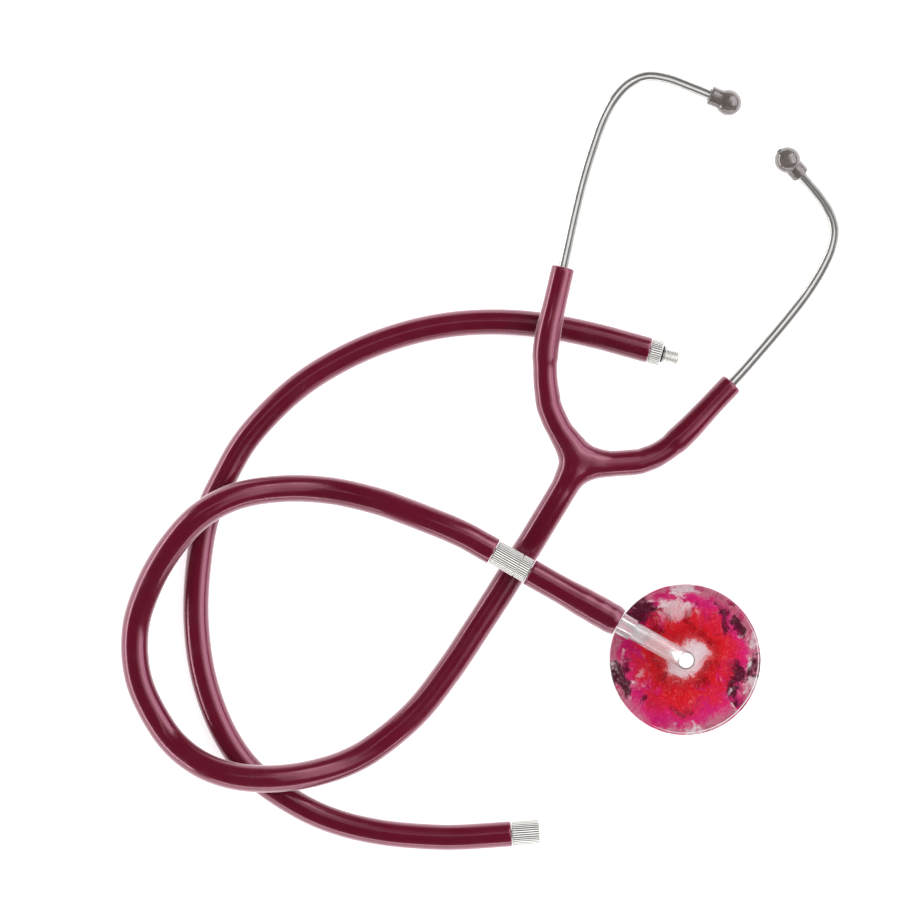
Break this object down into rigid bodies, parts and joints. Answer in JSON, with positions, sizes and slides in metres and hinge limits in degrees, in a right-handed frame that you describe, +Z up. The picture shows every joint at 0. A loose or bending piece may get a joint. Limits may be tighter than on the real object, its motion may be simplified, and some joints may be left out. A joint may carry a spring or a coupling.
{
  "type": "stethoscope",
  "caption": "Stethoscope: clear acrylic chestpiece with a printed disc, soft hose with an in-line screw coupling, Y piece, bent ear tubes, soft ear tips and a spare extension hose.",
  "frame": {"origin": "centre of the lower face of the diaphragm, under the middle of the chestpiece, on the table", "axes": "+Z up from the table, the way the chestpiece's printed face looks; X and Y lie in the table's plane, with the headset towards +Y and the hose loop towards -X"},
  "size_m": [0.273, 0.2953, 0.0219],
  "materials": {
    "hose_pvc": "glossy soft PVC hose, burgundy",
    "yoke_pvc": "glossy moulded soft PVC, burgundy",
    "coupling_metal": "plated turned metal with straight knurling",
    "seal_rubber": "black rubber ring",
    "spring_steel": "spring steel strip",
    "ear_tube_steel": "polished bent tube",
    "ear_tip_rubber": "glossy grey soft plastic",
    "clear_acrylic": "polished clear acrylic",
    "art_print": "printed film, abstract red, magenta and white",
    "diaphragm_sheet": "thin off-white composite sheet"
  },
  "bodies": {
    "extension_hose": {"spare_hose": "hose_pvc", "spare_male_connector": "coupling_metal", "spare_female_connector": "coupling_metal", "spare_seal_ring": "seal_rubber"},
    "tubing": {"yoke_centre": "yoke_pvc", "leaf_spring": "spring_steel", "main_hose": "hose_pvc", "female_connector": "coupling_metal"},
    "left_arm_body": {"left_arm": "yoke_pvc"},
    "right_arm_body": {"right_arm": "yoke_pvc"},
    "left_tube_body": {"left_ear_tube": "ear_tube_steel"},
    "right_tube_body": {"right_ear_tube": "ear_tube_steel"},
    "left_tip_body": {"left_ear_tip": "ear_tip_rubber"},
    "right_tip_body": {"right_ear_tip": "ear_tip_rubber"},
    "lower_line": {"lower_hose": "hose_pvc"},
    "coupling_plug": {"male_connector": "coupling_metal", "seal_ring": "seal_rubber"},
    "chestpiece": {"chest_body": "clear_acrylic", "chest_stem": "clear_acrylic", "stem_barb": "clear_acrylic", "art_disc": "art_print", "base_ring": "clear_acrylic", "diaphragm": "diaphragm_sheet"}
  },
  "joints": [
    {"name": "lift_off", "type": "slide", "parent": "extension_hose", "child": "tubing", "axis": [0, 0, 1], "range_m": [0, 0.06]},
    {"name": "left_spread", "type": "hinge", "parent": "tubing", "child": "left_arm_body", "pos_m": [-0.0518, 0.0965, 0.01254], "axis": [0.1188, -0.0743, 0.9901], "range_deg": [0, 26], "stiffness_Nm_per_rad": 0.25},
    {"name": "right_spread", "type": "hinge", "parent": "tubing", "child": "right_arm_body", "pos_m": [-0.0174, 0.0752, 0.00682], "axis": [0.1188, -0.0743, 0.9901], "range_deg": [-26, 0], "stiffness_Nm_per_rad": 0.25},
    {"name": "left_tube_twist", "type": "hinge", "parent": "left_arm_body", "child": "left_tube_body", "pos_m": [-0.0464, 0.149, 0.01583], "axis": [-0.2257, -0.9731, -0.0459], "range_deg": [-8, 30]},
    {"name": "right_tube_twist", "type": "hinge", "parent": "right_arm_body", "child": "right_tube_body", "pos_m": [0.018, 0.1051, 0.00481], "axis": [0.6857, 0.7273, -0.0277], "range_deg": [-8, 30]},
    {"name": "left_tip_pull", "type": "slide", "parent": "left_tube_body", "child": "left_tip_body", "axis": [0.9196, -0.3678, -0.1379], "range_m": [0, 0.009]},
    {"name": "right_tip_pull", "type": "slide", "parent": "right_tube_body", "child": "right_tip_body", "axis": [-0.6572, 0.7131, 0.2442], "range_m": [0, 0.009]},
    {"name": "coupling_travel", "type": "slide", "parent": "tubing", "child": "lower_line", "axis": [0.8704, -0.4924, 0], "range_m": [0, 0.007]},
    {"name": "coupling_turn", "type": "hinge", "parent": "lower_line", "child": "coupling_plug", "pos_m": [-0.0594, 0.03361, 0.0158], "axis": [0.8704, -0.4924, 0], "range_deg": [0, 2520]},
    {"name": "chestpiece_swivel", "type": "hinge", "parent": "lower_line", "child": "chestpiece", "pos_m": [0, 0, 0.0158], "axis": [0.8704, -0.4924, 0], "range_deg": [-180, 180]}
  ],
  "couplings": [
    {"joint": "right_spread", "follows": "left_spread", "ratio": -1},
    {"joint": "coupling_turn", "follows": "coupling_travel", "rad_per_m": 6283.2}
  ]
}
